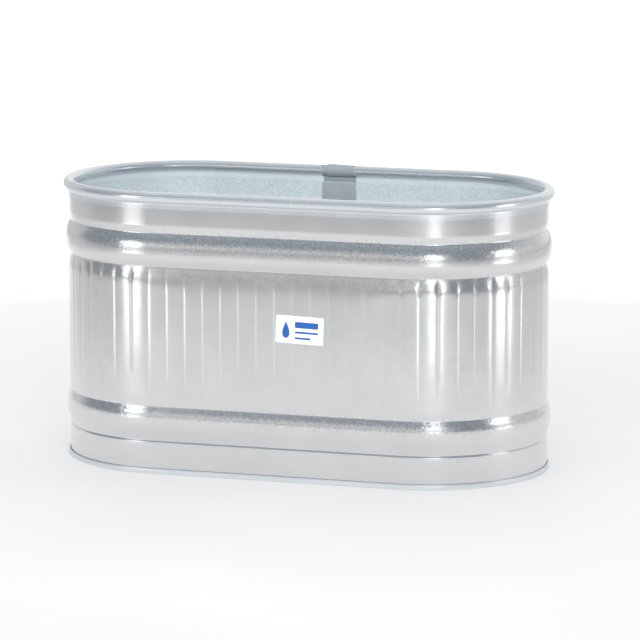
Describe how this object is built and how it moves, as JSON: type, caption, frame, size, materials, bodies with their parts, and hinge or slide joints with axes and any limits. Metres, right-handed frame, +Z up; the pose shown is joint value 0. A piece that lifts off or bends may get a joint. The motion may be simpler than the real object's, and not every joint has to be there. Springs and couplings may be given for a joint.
{
  "type": "livestock water trough",
  "caption": "Oval galvanised sheet-steel stock tank with a fluted, beaded wall, rolled tube rim, double-locked bottom and a screw plug in a drain low on the back.",
  "frame": {"origin": "on the ground under the middle of the tank", "axes": "+X along the length, +Y to the back wall with the drain, +Z up"},
  "size_m": [1.22, 0.6125, 0.6875],
  "materials": {
    "galvanised": "hot-dip galvanised, fine spangle, semi-bright",
    "zinc_paint": "matt zinc-grey repair paint over the wall's joint",
    "tube_steel": "plain galvanised tube",
    "sealant": "grey seam sealing compound",
    "gasket": "black rubber",
    "brass": "turned brass, slightly dulled",
    "label": "white printed vinyl with a plain blue drop and bars"
  },
  "bodies": {
    "tank": {"side_wall": "galvanised", "bottom_pan": "galvanised", "bottom_seam_sealant": "sealant", "rim_cap": "galvanised", "rim_tube": "tube_steel", "rim_tube_spigot": "tube_steel", "rim_joint_sleeve": "zinc_paint", "seam_strap": "zinc_paint", "drain_spud": "brass", "drain_locknut": "brass", "drain_outer_gasket": "gasket", "drain_inner_gasket": "gasket", "label": "label"},
    "plug_seal": {"drain_plug_washer": "gasket"},
    "plug": {"drain_plug": "brass"}
  },
  "joints": [
    {"name": "plug_travel", "type": "slide", "parent": "tank", "child": "plug_seal", "axis": [0, 1, 0], "range_m": [0, 0.01272]},
    {"name": "plug_turn", "type": "hinge", "parent": "plug_seal", "child": "plug", "pos_m": [-0.18, 0.298, 0.048], "axis": [0, 1, 0], "range_deg": [0, 2520]}
  ],
  "couplings": [
    {"joint": "plug_travel", "follows": "plug_turn", "m_per_rad": 0.00028871}
  ]
}
